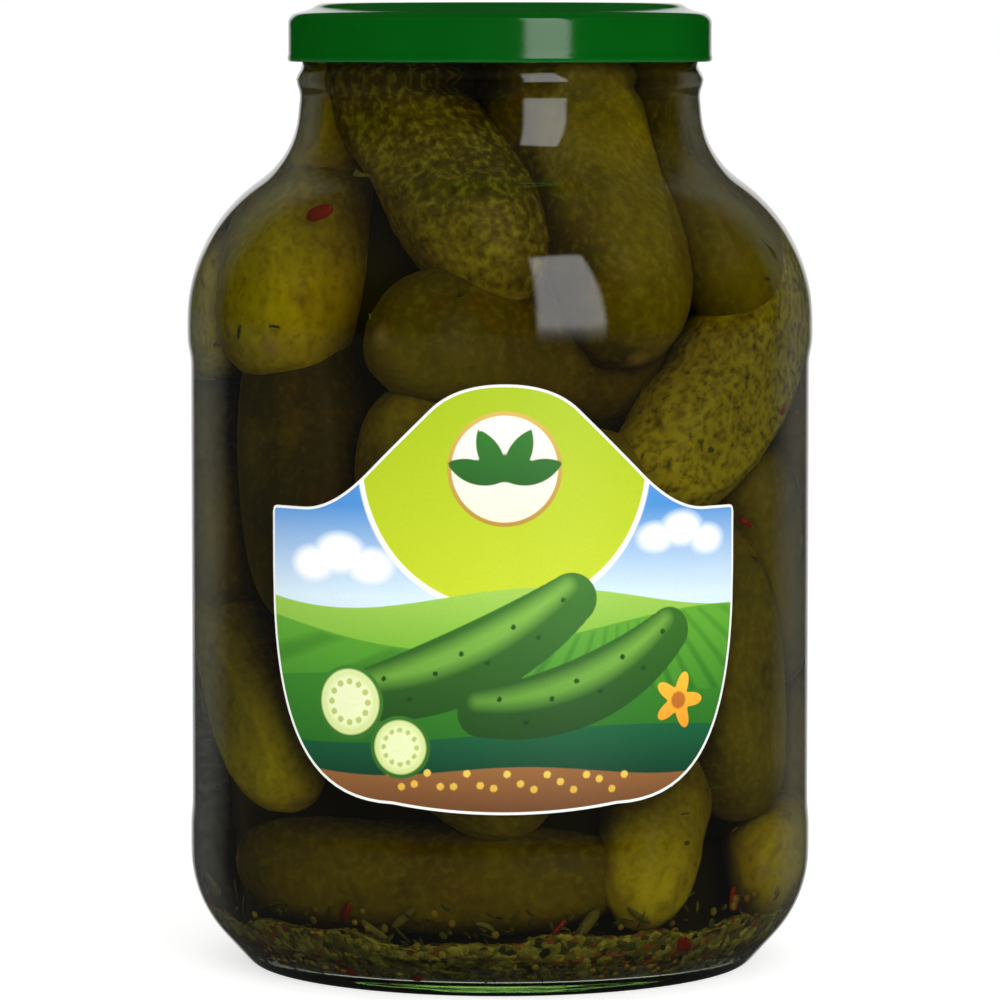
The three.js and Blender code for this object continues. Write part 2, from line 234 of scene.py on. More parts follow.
def clear_material(name, tint, index, shine, depth_tint, density, ripple=0):
    """A clear body: its face's tint, how it bends light and mirrors it, its stain and its waves.

    The lamps' light passes straight through its faces to what lies behind.
    """
    made, tree, place = new_material(name)
    finish = {
        "Base Color": linear(tint),
        "Roughness": 0.0,
        "IOR": index,
        "Transmission Weight": 1.0,
        "Specular Tint": linear(shine),
    }
    if ripple:
        waves = node(
            tree,
            "ShaderNodeTexNoise",
            {"Vector": place, "Scale": 1 / (RIPPLE_SPACING * MM), "Detail": 1.0},
        )
        finish["Normal"] = node(
            tree, "ShaderNodeBump", {"Height": waves, "Strength": 1.0, "Distance": ripple * MM}
        )
    surface = node(tree, "ShaderNodeBsdfPrincipled", finish)
    stain = node(tree, "ShaderNodeVolumeAbsorption", {"Color": linear(depth_tint), "Density": density})
    let_by = node(tree, "ShaderNodeBsdfTransparent", {"Color": linear(tint)})
    lamplight = node(tree, "ShaderNodeLightPath").outputs["Is Shadow Ray"]
    clear = node(tree, "ShaderNodeMixShader", {0: lamplight, 1: surface, 2: let_by})
    node(tree, "ShaderNodeOutputMaterial", {"Surface": clear, "Volume": stain})
    return made


# Soda-lime glass, fire-polished: clear and glossy, with a green cast only where it is thick.
glass = clear_material(
    "soda_lime_glass", GLASS_TINT, GLASS_INDEX, "#ffffff", GLASS_DEPTH_TINT, GLASS_DENSITY, RIPPLE
)

bearing = bearing_radius()
floor_edge = bearing - PUSH_UP_EDGE / 2
outside = [
    *dome(bearing - PUSH_UP_EDGE),
    (bearing - BEARING_FLAT, 0),
    *arc(bearing, BEARING_ARC, BEARING_ARC, -90, -HEEL_SWEEP, 4),
    *wall_profile(0),
    (BORE_RADIUS + WALL, BEAD_BOTTOM - BEAD_ROUND),
    (BEAD_RADIUS, BEAD_BOTTOM + BEAD_ROUND / 2),
    (BEAD_RADIUS, BEAD_TOP - BEAD_ROUND / 2),
    (FINISH_RADIUS, BEAD_TOP + BEAD_ROUND / 2),
    (FINISH_RADIUS, LIP_HEIGHT - LIP_ROUND),
    (FINISH_RADIUS - LIP_ROUND, LIP_HEIGHT),
]
inside = [
    (BORE_RADIUS + LIP_ROUND / 2, LIP_HEIGHT),
    (BORE_RADIUS, LIP_HEIGHT - LIP_ROUND),
    *wall_profile(WALL)[::-1],
    *dome(floor_edge, FLOOR_THICKNESS)[::-1],
]
jar = add_mesh("jar", *turned(softened(outside + inside, GLASS_STEP), GLASS_SEGMENTS), glass)
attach(jar, "root")
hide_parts("jar_glass")


# The gherkins. Small ridged cucumbers with warty skins, packed by hand standing and lying against
# the glass, and cured in vinegar, which turns them olive and leaves the blossom end yellow.
WALL_CLEARANCE = 1.0
CORE_RADIUS = 50
CORE_NECK_RADIUS = 24
CORE_BOTTOM = 12
CORE_TOP = 242
BLUNTNESS = 3.6  # of the ends: 2 is a ball's
THREE_SIDED = 0.035  # the next four are shares of the half thickness
RIDGED = 0.012
WAISTED = 0.03
KNOBBLY = 0.02
WART_SPACING = 7.5
WART_RADIUS = 1.3
WART_HEIGHT = 0.25
SPECKLED_WART_HEIGHT = 0.55  # more on the most speckled skins
WART_WANDER = 0.4  # of the spacing
SCAR_RADIUS = 2.6
BELLY_PALENESS = 0.25
YELLOW_FROM = 0.45  # of the way to the end that has ripened
PATCH_RANGE = 500  # so that no two skins are patterned alike
FRONT_GRID = (72, 68)  # rings and sides of one gherkin's mesh
BACK_GRID = (44, 40)
INSIDE_OUT = [0, 3, 2, 1]  # turns a face over
WET_INDEX = 1.12  # of refraction: that of flesh against brine

# Each runs from one end's middle to the other's, with its half thickness, how far it bows away
# from the jar's axis, its ripeness from dull to yellow, how speckled its skin is, how yellow its
# end is (below zero where that is the first end), and which way its pale belly looks: 90 degrees
# is outwards.
FRONT_GHERKINS = [
    ((-29, -14, 236), (-3, -52, 190), 17.5, 2, 0.38, 0.9, 0.2, 60),  # leaning out of the neck
    ((10, -20, 238), (28, -50, 180), 19, 5, 0.42, 0.35, 0.0, 150),  # long, beside it
    ((33, 4, 234), (52, -28, 186), 19.5, 4, 0.14, 0.2, 0.1, 60),  # right shoulder
    ((-33, 8, 200), (-50, -34, 176), 20.5, 2, 0.62, 0.45, 0.9, 90),  # left shoulder, end on
    ((24, -28, 163), (-15, -58, 168), 18.5, 2, 0.25, 0.25, 0.1, 150),  # its end faces out
    ((-44, 26, 166), (-64, -14, 172), 16, 4, 1.2, 0.7, 1.0, 90),  # tip at the left edge
    ((-44, -31, 158), (-43, -39, 110), 18, 1, 0.1, 0.12, 0.0, 0),  # upright, left of the label
    ((61, -10, 178), (38, -47, 136), 18.5, 6, 0.95, 1.0, 0.5, 90),  # slanting, right of the label
    ((-62, -4, 142), (-61, -12, 104), 16, 2, 0.42, 0.2, 0.0, 90),  # left side
    ((59, -24, 124), (62, -10, 92), 16.5, 2, 0.35, 0.2, 0.0, 60),  # right side
    ((-61, -6, 96), (-52, -38, 60), 16, 3, 0.9, 0.4, 1.0, 90),  # yellow tip, lower left
    ((50, -38, 104), (55, -30, 58), 17, 2, 0.38, 0.25, 0.1, 120),  # lower right
    ((-50, -32, 31), (21, -50, 31), 13.5, 12, 0.42, 0.28, 0.0, 60),  # lying along the heel
    ((36, -36, 60), (35, -55, 31), 13.5, 1, 0.72, 0.4, 0.8, 90),  # yellow end beside it
    ((46, 26, 34), (61, -22, 30), 15, 5, 1.2, 0.4, 0.5, 90),  # right heel
    ((-36, -8, 238), (-38, -12, 210), 13.5, 1, 0.95, 0.3, 0.0, 90),  # behind the leaning one
    ((-18, -57, 140), (-7, -59, 92), 18, 1, 0.6, 0.4, 0.2, 90),  # behind the label
    ((22, -57, 128), (16, -59, 78), 18, 1, 0.5, 0.2, 0.2, 90),
    ((-30, -52, 88), (-2, -60, 56), 16.5, 3, 0.65, 0.5, 0.2, 90),
]

# Round the back they stand in tiers, leaning left and right by turns: each tier's height, and the
# length, lean in degrees and half thickness of its gherkins.
BACK_TIERS = [(42, 40, 26, 17.5), (90, 44, -18, 19), (136, 42, 22, 18.5), (174, 26, -14, 18.5)]
TIER_COUNT = 5
BACK_FIRST = 12  # degrees past the jar's sides where the back tiers start and end
NECK_GHERKINS = [
    ((-26, 20, 236), (-42, 34, 190), 18, 3, 0.6, 0.4, 0.3, 120),
    ((8, 26, 238), (14, 54, 192), 19, 3, 0.65, 0.7, 0.4, 30),
]


def reach(height, inset):
    """How far out from the axis the jar's wall lets a thing be at a height."""
    radius, level = np.array([*wall_profile(inset), (BORE_RADIUS + WALL - inset, LIP_HEIGHT)]).T
    return np.interp(height, level, radius)


def pressed(points, inset):
    """Points that would pass the wall at an inset, laid against it instead."""
    out = np.hypot(points[:, 0], points[:, 1])
    points[:, :2] *= np.minimum(1, reach(points[:, 2], inset) / np.maximum(out, 1e-6))[:, None]
    return points


def unit(vector):
    return vector / np.linalg.norm(vector)


def gherkin(draw, start, end, girth, bow, ripeness, speckle, yellow_end, belly, rings, sides):
    """One warty gherkin: its points, its faces and what its skin needs to know at each point."""
    start, end = np.array(start, float), np.array(end, float)
    along = unit(end - start)
    start, end = start - along * girth, end + along * girth
    length = np.linalg.norm(end - start)
    middle = (start + end) / 2
    outwards = unit(middle * (1, 1, 0))
    side = unit(np.cross(along, outwards))
    across = np.cross(side, along)
    even = (np.arange(rings) + 0.75) / (rings + 0.5)
    share = np.concatenate([[0], 0.55 * even + 0.45 * (0.5 - 0.5 * np.cos(np.pi * even)), [1]])
    angle = 2 * np.pi * np.arange(sides) / sides
    share, angle = np.meshgrid(share, angle, indexing="ij")
    full = np.sqrt(1 - np.abs(2 * share - 1) ** BLUNTNESS)
    turn = draw.uniform(0, 2 * np.pi, 5)
    radius = girth * full * (
        1
        + THREE_SIDED * np.cos(3 * angle + turn[0] + 1.5 * share)
        + RIDGED * np.cos(8 * angle + turn[1])
        + WAISTED * np.sin(5 * share + turn[2])
        + KNOBBLY * np.sin(11 * share + 2 * angle + turn[3])
    )
    rows = max(3, round(length / WART_SPACING))
    columns = max(6, round(2 * np.pi * girth / WART_SPACING))
    wart = np.zeros_like(share)
    for row in range(rows):
        for column in range(columns):
            at_share = (row + 0.5 + draw.uniform(-WART_WANDER, WART_WANDER)) / rows
            stagger = 0.5 * (row % 2) + draw.uniform(-WART_WANDER, WART_WANDER)
            at_angle = 2 * np.pi * (column + stagger) / columns
            size = draw.uniform(0.2, 1.0) ** 1.5
            gap = np.angle(np.exp(1j * (angle - at_angle))) * girth * full
            away = ((share - at_share) * length) ** 2 + gap**2
            wart += size * np.exp(-away / (2 * WART_RADIUS**2))
    radius += (WART_HEIGHT + SPECKLED_WART_HEIGHT * speckle) * wart * full
    middle_line = start + (end - start) * share[..., None]
    middle_line += outwards * bow * (1 - (2 * share[..., None] - 1) ** 2)
    rim = radius[..., None] * (side * np.cos(angle)[..., None] + across * np.sin(angle)[..., None])
    points = (middle_line + rim).reshape(-1, 3)
    points[:, 2] = points[:, 2].clip(CORE_BOTTOM, CORE_TOP)
    points = pressed(points, WALL + WALL_CLEARANCE)
    nearer = share if yellow_end > 0 else 1 - share
    belly = math.radians(belly)
    paler = np.cos(angle - belly) - math.sin(belly)
    place = draw.uniform(0, 1, 3) * PATCH_RANGE
    lie = place + np.stack([radius * np.cos(angle), radius * np.sin(angle), share * length], -1)
    reached = np.clip((nearer - YELLOW_FROM) / 0.5, 0, 1)
    skin = {
        "ripeness": (ripeness + BELLY_PALENESS * paler).ravel(),
        "speckle": np.full(share.size, speckle),
        "yellowing": (abs(yellow_end) * reached**1.5).ravel(),
        "wart": wart.clip(0, 1).ravel(),
        "scar": np.exp(-((radius / SCAR_RADIUS) ** 4)).ravel(),
        "lie": lie.reshape(-1, 3),
    }
    return points, ring_quads(len(share), sides)[:, INSIDE_OUT], skin


def heap_of(name, gherkins, grid, material, seed):
    """Several gherkins as one mesh, with their skins' values stored on its points."""
    draw = np.random.default_rng(seed)
    points, quads, skins = zip(*[gherkin(draw, *each, *grid) for each in gherkins])
    offset = np.cumsum([0] + [len(part) for part in points])
    faces = np.concatenate([part + start for part, start in zip(quads, offset)])
    heap = add_mesh(name, np.concatenate(points), faces.tolist(), material)
    for key in skins[0]:
        values = np.concatenate([skin[key] for skin in skins])
        kind, field = ("FLOAT", "value") if values.ndim == 1 else ("FLOAT_VECTOR", "vector")
        stored = heap.data.attributes.new(key, kind, "POINT")
        unit_size = 1 if kind == "FLOAT" else MM
        stored.data.foreach_set(field, values.astype(np.float32).ravel() * unit_size)
    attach(heap, "root")


def back_gherkins():
    """The tiers round the back, from their few sizes."""
    placed = []
    for tier, (height, length, lean, girth) in enumerate(BACK_TIERS):
        for i in range(TIER_COUNT):
            share = (i + (0.5 if tier % 2 else 0.2)) / TIER_COUNT
            angle = math.radians(BACK_FIRST + (180 - 2 * BACK_FIRST) * share)
            tilt = math.radians(lean * (1 if i % 2 else -0.6))
            out = PANEL_RADIUS - WALL - girth - 2
            rise = length / 2 * math.cos(tilt)
            slide = length / 2 * math.sin(tilt) / out
            ends = []
            for way in (1, -1):
                turn = angle + way * slide
                level = height + way * rise + 5 * (i % 2)
                ends.append((out * math.cos(turn), out * math.sin(turn), level))
            thick = girth * (1 - 0.12 * ((i + tier) % 3))
            ripeness = 0.4 + 0.12 * ((2 * i + tier) % 4)
            speckle = 0.3 + 0.2 * ((i + 2 * tier) % 4)
            placed.append((*ends, thick, 2, ripeness, speckle, 0.3 * (i % 3), 60 * ((i + tier) % 4)))
    return placed


# Cured gherkin skin: olive with a finely mottled ground, dark warts and pale flecks. Brine wets it,
# so it shows little shine of its own.
SKIN_DULL = "#3b3004"
SKIN_OLIVE = "#8c780a"
SKIN_YELLOW = "#b8a00c"
SKIN_DARK = "#2e2404"
SKIN_PALE = "#968a1e"
SKIN_RUST = "#583604"
SKIN_SCAR = "#9a7c3c"
CLOUD = 22  # millimetres from one cloudy patch to the next
MOTTLE = 2.2  # from one speck of the ground to the next
STREAK = 3.5  # across one streak of the ripe end
STREAK_STRETCH = 0.12
RUST_PATCH = 11
FLECK = 3.6  # from one dark fleck to the next
WRINKLE = 0.4  # how deep the fine wrinkles are

skin, tree, _ = new_material("cured_gherkin_skin")
fields = {
    name: node(tree, "ShaderNodeAttribute", attribute_name=name).outputs["Fac"]
    for name in ("ripeness", "speckle", "yellowing", "wart", "scar")
}
lie = node(tree, "ShaderNodeAttribute", attribute_name="lie").outputs["Vector"]
stretched = node(tree, "ShaderNodeMapping", {"Vector": lie, "Scale": (1.0, 1.0, STREAK_STRETCH)})
clouds, mottle, rust, streaks = [
    node(tree, "ShaderNodeTexNoise", {"Vector": laid, "Scale": 1 / (size * MM), "Detail": detail})
    for laid, size, detail in (
        (lie, CLOUD, 3.0),
        (lie, MOTTLE, 3.0),
        (lie, RUST_PATCH, 4.0),
        (stretched, STREAK, 2.0),
    )
]
flecks = node(tree, "ShaderNodeTexVoronoi", {"Vector": lie, "Scale": 1 / (FLECK * MM)})
cloudy, streaky, rusty, pale_specks, dark_flecks, dark_specks, wart_tips = [
    node(tree, "ShaderNodeMapRange", {"Value": value, 1: start, 2: stop, 3: low, 4: high})
    for value, start, stop, low, high in (
        (clouds, 0.3, 0.7, -0.25, 0.25),
        (streaks, 0.3, 0.7, 0.8, 1.1),
        (rust, 0.52, 0.72, 0.0, 0.5),
        (mottle, 0.5, 0.7, 0.0, 0.7),
        (flecks, 0.42, 0.1, 0.0, 0.5),
        (mottle, 0.52, 0.3, 0.0, 0.8),
        (fields["wart"], 0.4, 0.9, 0.0, 0.4),
    )
]
ripe = node(tree, "ShaderNodeMath", {0: fields["ripeness"], 1: cloudy}, operation="ADD", use_clamp=True)
ripe_end = node(
    tree, "ShaderNodeMath", {0: fields["yellowing"], 1: streaky}, operation="MULTIPLY", use_clamp=True
)
pale = node(tree, "ShaderNodeMath", {0: fields["speckle"], 1: pale_specks}, operation="MULTIPLY")
spots = node(tree, "ShaderNodeMath", {0: dark_flecks, 1: dark_specks}, operation="MAXIMUM")
spotted = node(tree, "ShaderNodeMath", {0: spots, 1: fields["speckle"]}, operation="MULTIPLY")
dark = node(tree, "ShaderNodeMath", {0: spotted, 1: wart_tips}, operation="MAXIMUM")
shares = (ripe, ripe_end, rusty, pale, dark, fields["scar"])
tones = (SKIN_OLIVE, SKIN_YELLOW, SKIN_RUST, SKIN_PALE, SKIN_DARK, SKIN_SCAR)
colour = layered(tree, linear(SKIN_DULL), zip(shares, map(linear, tones)))
wrinkles = node(tree, "ShaderNodeBump", {"Height": mottle, "Strength": 0.35, "Distance": WRINKLE * MM})
finished(tree, {"Base Color": colour, "Roughness": 0.35, "IOR": WET_INDEX, "Normal": wrinkles})

heap_of("gherkins_front", FRONT_GHERKINS, FRONT_GRID, skin, 11)
heap_of("gherkins_back", back_gherkins() + NECK_GHERKINS, BACK_GRID, skin, 12)

# What lies deeper in the jar can't be told apart: a lumpy core in the skin's darkest tones, dull
# and patchy: painted shade, as gherkins look in the shade of those in front.
CORE_LUMP = 3.5
CORE_PATCH = 18
CORE_SEGMENTS = 64
CORE_STEP = 4
CORE_SHOULDER = 176.5
core_profile = softened(
    [
        (0, CORE_BOTTOM),
        (CORE_RADIUS, CORE_BOTTOM),
        (CORE_RADIUS, CORE_SHOULDER),
        (CORE_NECK_RADIUS, SHOULDER_START + SHOULDER_ARC),
        (CORE_NECK_RADIUS, CORE_TOP),
        (0, CORE_TOP),
    ],
    CORE_STEP,
)
deep, tree, place = new_material("shaded_gherkin_skin")
# painted shade: the skin's darkest tones, standing for gherkins in the shade of others
colour, _ = patchy(tree, place, "#1d1b08", "#3d390f", CORE_PATCH, 4.0)
finished(tree, {"Base Color": colour, "Roughness": 0.5, "IOR": WET_INDEX})
core_points, core_faces = turned(core_profile, CORE_SEGMENTS)
core_angle, core_height = np.arctan2(core_points[:, 0], -core_points[:, 1]), core_points[:, 2]
lumps = np.sin(4 * core_angle + core_height / 17) * np.cos(core_angle + core_height / 23)
core_points[:, :2] *= 1 + CORE_LUMP * lumps[:, None] / CORE_RADIUS
core = add_mesh("deeper_gherkins", core_points, core_faces, deep)
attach(core, "root")
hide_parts("gherkin_heap")


# The brine. Spirit vinegar and water, stained yellow-brown by the gherkins. It fills the jar to
# just under the cap and wets the glass, so it reaches a hair into the wall.
BRINE_BITE = 0.35
BRINE_LEVEL = 246
BRINE_INDEX = 1.34
BRINE_TINT = "#e6cf6a"
BRINE_DENSITY = 22.0

# Brine against wet glass mirrors next to nothing, so its shine is left to the glass.
brine_liquid = clear_material(
    "vinegar_brine", "#ffffff", BRINE_INDEX, "#000000", BRINE_TINT, BRINE_DENSITY
)
brine_profile = [
    *dome(floor_edge, FLOOR_THICKNESS - BRINE_BITE),
    *wall_profile(WALL - BRINE_BITE),
    (BORE_RADIUS + BRINE_BITE, BRINE_LEVEL),
    (0, BRINE_LEVEL),
]
brine = add_mesh("brine", *turned(softened(brine_profile, GLASS_STEP), GLASS_SEGMENTS), brine_liquid)
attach(brine, "root")


# What is strewn among them: mustard seeds, strips of red pepper, slivers of onion and dill. A few
# cling to the glass, and the rest has sunk into the heel of the jar.
BED_HEIGHT = 19  # how far up the heel the sunken bits reach
BIT_CLEARANCE = 0.25  # from the brine's face
BIT_LIFT = 1.2  # off the base
CLING_HEIGHTS = (25, 215)


def at_wall(turn, height, depth):
    """A place at the glass: degrees round from the front, height, and depth behind the wall's face."""
    out = reach(height, WALL + depth)
    turn = math.radians(turn)
    return np.array([out * math.sin(turn), -out * math.cos(turn), height])


def ball(rows=7, columns=10):
    """A unit ball's points and faces."""
    turns = 2 * np.pi * np.arange(columns) / columns
    tilt, turn = np.meshgrid(np.linspace(0, np.pi, rows), turns, indexing="ij")
    points = np.stack([np.sin(tilt) * np.cos(turn), np.sin(tilt) * np.sin(turn), np.cos(tilt)], -1)
    return points.reshape(-1, 3), ring_quads(rows, columns)[:, INSIDE_OUT]


def sheet_quads(corner):
    """Faces of a sheet whose points are numbered in rows and columns."""
    around = [corner[:-1, :-1], corner[1:, :-1], corner[1:, 1:], corner[:-1, 1:]]
    return np.stack(around, -1).reshape(-1, 4)


def flake(length, width, thickness, curl, columns=9, rows=4):
    """A thin bent strip lying in X and Z with its hollow side towards +Y, closed all round."""
    u, v = np.meshgrid(np.linspace(-0.5, 0.5, columns), np.linspace(-0.5, 0.5, rows), indexing="ij")
    narrow = 1 - 0.5 * np.abs(2 * u) ** 3
    sag = curl * length * (u**2 + 0.4 * v**2)
    half = thickness / 2 * (1 - 0.7 * np.abs(2 * v) ** 4)
    skins = [
        np.stack([u * length, sag + way * half, v * width * narrow], -1).reshape(-1, 3)
        for way in (-1, 1)
    ]
    corner = np.arange(columns * rows).reshape(columns, rows)
    front = sheet_quads(corner)
    back = front[:, ::-1] + columns * rows
    rim = np.concatenate([corner[:, 0], corner[-1, 1:], corner[-2::-1, -1], corner[0, -2:0:-1]])
    after = np.roll(rim, -1)
    side = np.stack([after, rim, rim + columns * rows, after + columns * rows], 1)
    return np.concatenate(skins), np.concatenate([front, back, side])


def strewn(name, shapes, places, material, draw, tumble=0.5):
    """Copies of small shapes, each turned at random about the glass's face, as one mesh."""
    points, faces, start = [], [], 0
    for i, place in enumerate(places):
        shape, quads = shapes[i % len(shapes)]
        roll = draw.uniform(0, 2 * np.pi)
        turn = math.atan2(place[0], -place[1]) + draw.normal(0, tumble)
        lean = draw.normal(0, tumble)
        u = shape[:, 0] * math.cos(roll) - shape[:, 2] * math.sin(roll)
        w = shape[:, 0] * math.sin(roll) + shape[:, 2] * math.cos(roll)
        v = shape[:, 1] * math.cos(lean) - w * math.sin(lean)
        w = shape[:, 1] * math.sin(lean) + w * math.cos(lean)
        size = draw.uniform(0.8, 1.2)
        x = u * math.cos(turn) - v * math.sin(turn)
        y = u * math.sin(turn) + v * math.cos(turn)
        moved = pressed(np.stack([x, y, w], 1) * size + place, WALL - BRINE_BITE + BIT_CLEARANCE)
        moved[:, 2] = np.maximum(moved[:, 2], FLOOR_THICKNESS + BIT_LIFT)
        points.append(moved)
        faces.append(quads + start)
        start += len(shape)
    made = add_mesh(name, np.concatenate(points), np.concatenate(faces).tolist(), material)
    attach(made, "root")


def sunk(draw, count, deepest=9.0):
    """Places in the heel, thickest at the bottom."""
    turns = draw.uniform(-180, 180, count)
    heights = FLOOR_THICKNESS + 1.5 + BED_HEIGHT * draw.uniform(0, 1, count) ** 1.8
    return [at_wall(t, h, d) for t, h, d in zip(turns, heights, draw.uniform(0.2, deepest, count))]


def clinging(draw, count, front=0):
    """Places against the glass above the heel, none within an angle of the front."""
    turns, heights = draw.uniform(front, 360 - front, count), draw.uniform(*CLING_HEIGHTS, count)
    return [at_wall(t, h, 0.5) for t, h in zip(turns, heights)]


def spiced(name, light, dark, patch, roughness):
    """A small bit's finish, wet with brine: two tones in soft patches of a size in millimetres."""
    made, tree, place = new_material(name)
    colour, patches = patchy(tree, place, light, dark, patch, 2.0)
    relief = node(tree, "ShaderNodeBump", {"Height": patches, "Strength": 0.3, "Distance": 0.2 * MM})
    finish = {"Base Color": colour, "Roughness": roughness, "IOR": WET_INDEX, "Normal": relief}
    finished(tree, finish)
    return made


# The settled crumbs themselves: a loose bed of skin, leaf and seed dust lying round the heel. It
# shows as ragged dark and straw-coloured grains with a few rusty ones, rough to the light.
BED_TOP = 16.5
BED_MIDDLE = 12.5
BED_LIFT = 0.6  # off the base
BED_SEGMENTS = 240
CRUMB = 2.1
CRUMB_TEAR = 1.4 * CRUMB  # how far its edges are drawn out of line
CRUMB_RELIEF = 0.8
draw = np.random.default_rng(20)
bed_wall = [point for point in wall_profile(WALL + WALL_CLEARANCE / 2) if point[1] < BED_TOP]
bed_profile = softened(
    [
        *dome(floor_edge, FLOOR_THICKNESS + BED_LIFT),
        *bed_wall,
        (bed_wall[-1][0] + 1, BED_TOP),
        (bed_wall[-1][0] - 4, BED_TOP + 1),
        (CORE_RADIUS, BED_MIDDLE),
        (0, BED_MIDDLE),
    ],
    CRUMB / 2,
)
bed_points, bed_faces = turned(bed_profile, BED_SEGMENTS)
around = np.arctan2(bed_points[:, 0], bed_points[:, 1])
heaped = np.sin(3 * around + 1) + np.sin(7 * around) + 0.8 * np.sin(17 * around + 2)
bed_points[:, 2] += np.where(bed_points[:, 2] > BED_MIDDLE, heaped, 0)
bed_points += draw.normal(0, CRUMB / 6, bed_points.shape)
bed_points = pressed(bed_points, WALL + WALL_CLEARANCE / 4)
bed_points[:, 2] = np.maximum(bed_points[:, 2], FLOOR_THICKNESS + BED_LIFT)

crumbs, tree, place = new_material("settled_herb_crumbs")
ragged = node(tree, "ShaderNodeTexNoise", {"Vector": place, "Scale": 1 / (CRUMB * MM), "Detail": 3.0})
torn = node(
    tree,
    "ShaderNodeVectorMath",
    {0: ragged.outputs["Color"], 1: (CRUMB_TEAR * MM,) * 3, 2: place},
    operation="MULTIPLY_ADD",
)
cells = node(tree, "ShaderNodeTexVoronoi", {"Vector": torn, "Scale": 1 / (CRUMB * MM)})
chance = node(tree, "ShaderNodeSeparateXYZ", {0: cells.outputs["Color"]}).outputs
rusty = node(tree, "ShaderNodeMapRange", {"Value": chance["Y"], 1: 0.86, 2: 0.88})
grains = [(chance["X"], linear("#9c8e2c")), (rusty, linear("#7e4614"))]
relief = node(
    tree,
    "ShaderNodeBump",
    {"Height": cells.outputs["Distance"], "Strength": 0.8, "Distance": -CRUMB_RELIEF * MM},
)
colour = layered(tree, linear("#2a2608"), grains)
finished(tree, {"Base Color": colour, "Roughness": 0.5, "IOR": WET_INDEX, "Normal": relief})
bed = add_mesh("settled_bed", bed_points, bed_faces, crumbs)
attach(bed, "root")

# Mustard seed: smooth tan husks, some swollen and pale.
draw = np.random.default_rng(21)
seed_points, seed_faces = ball()
seed = (seed_points * (1.0, 1.0, 0.92), seed_faces)
strewn(
    "mustard_seeds",
    [seed],
    sunk(draw, 260) + clinging(draw, 12),
    spiced("mustard_seed_husk", "#8f7420", "#55400e", 1.5, 0.4),
    draw,
)

# Red pepper: strips and dice of soft red and orange flesh with a shiny outer skin.
PEPPER_SEEN = [(-42.3, 199, 1.2), (66, 149, 0.8), (52.2, 121, 0.8), (39.8, 14, 0.6)]
strewn(
    "pepper_strips",
    [flake(6.5, 4.0, 1.3, 0.25), flake(4.0, 2.5, 1.2, 0.2), flake(5.5, 2.0, 1.2, 0.3)],
    [at_wall(*seen) for seen in PEPPER_SEEN] + sunk(draw, 22) + clinging(draw, 3, 90),
    spiced("red_pepper_flesh", "#8e2a08", "#5e1004", 4.0, 0.3),
    draw,
)

# Onion: thin curved slivers, gone dull and yellowish in the brine.
strewn(
    "onion_slivers",
    [flake(8, 2.4, 0.8, 0.35), flake(6, 2.0, 0.7, 0.5)],
    sunk(draw, 60) + clinging(draw, 5),
    spiced("onion_flesh", "#6e6428", "#453f12", 5.0, 0.3),
    draw,
)

# Dill and stray skins: small dark green and brown flecks.
strewn(
    "herb_flecks",
    [flake(3.2, 1.2, 0.35, 0.3, 5, 3), flake(2.0, 1.6, 0.35, 0.2, 5, 3), flake(5.5, 0.6, 0.4, 0.4, 7, 3)],
    sunk(draw, 700) + clinging(draw, 50),
    spiced("dill_leaf", "#54500f", "#2a2806", 1.0, 0.5),
    draw,
    tumble=0.8,
)


# The cap. Tinplate, pressed to a stepped top that the next jar stands in, its edge rolled inwards
# under the skirt, and lacquered a deep glossy green.
CAP_RADIUS = 56.2
CAP_BOTTOM = 239
CAP_WALL = 0.8
CURL = 1.8
CURL_GROOVE = 0.2
CAP_UNDERSIDE = 251.8
CAP_CORNER_HEIGHT = 250.2
CAP_CORNER = 1.5
STEP_RADIUS = 53.2
STEP_HEIGHT = 252.4
STACK_RING_RADIUS = 49
STACK_RING_WIDTH = 5
CAP_TOP = 254.5
CAP_ROUND = 0.7
CAP_PANEL_HEIGHT = 253.1
BUTTON_RADIUS = 14
BUTTON_SLOPE = 2
BUTTON_RISE = 0.5
CAP_STEP = 0.5
CAP_SEGMENTS = 180
LACQUER_GREEN = "#01450a"
LACQUER_BRIGHT = "#02550d"
# paler green of the sharp edges: thinner lacquer and a painted highlight
LACQUER_WEAR_AND_HIGHLIGHT = "#1c7a36"
LACQUER_DRIFT = 30  # millimetres over which the green drifts
ORANGE_PEEL = 1.2
WEAR_AND_HIGHLIGHT_BEND = (0.2, 0.8)  # radians the profile turns at a point, from no paler edge to the palest: thinner lacquer and painted highlight
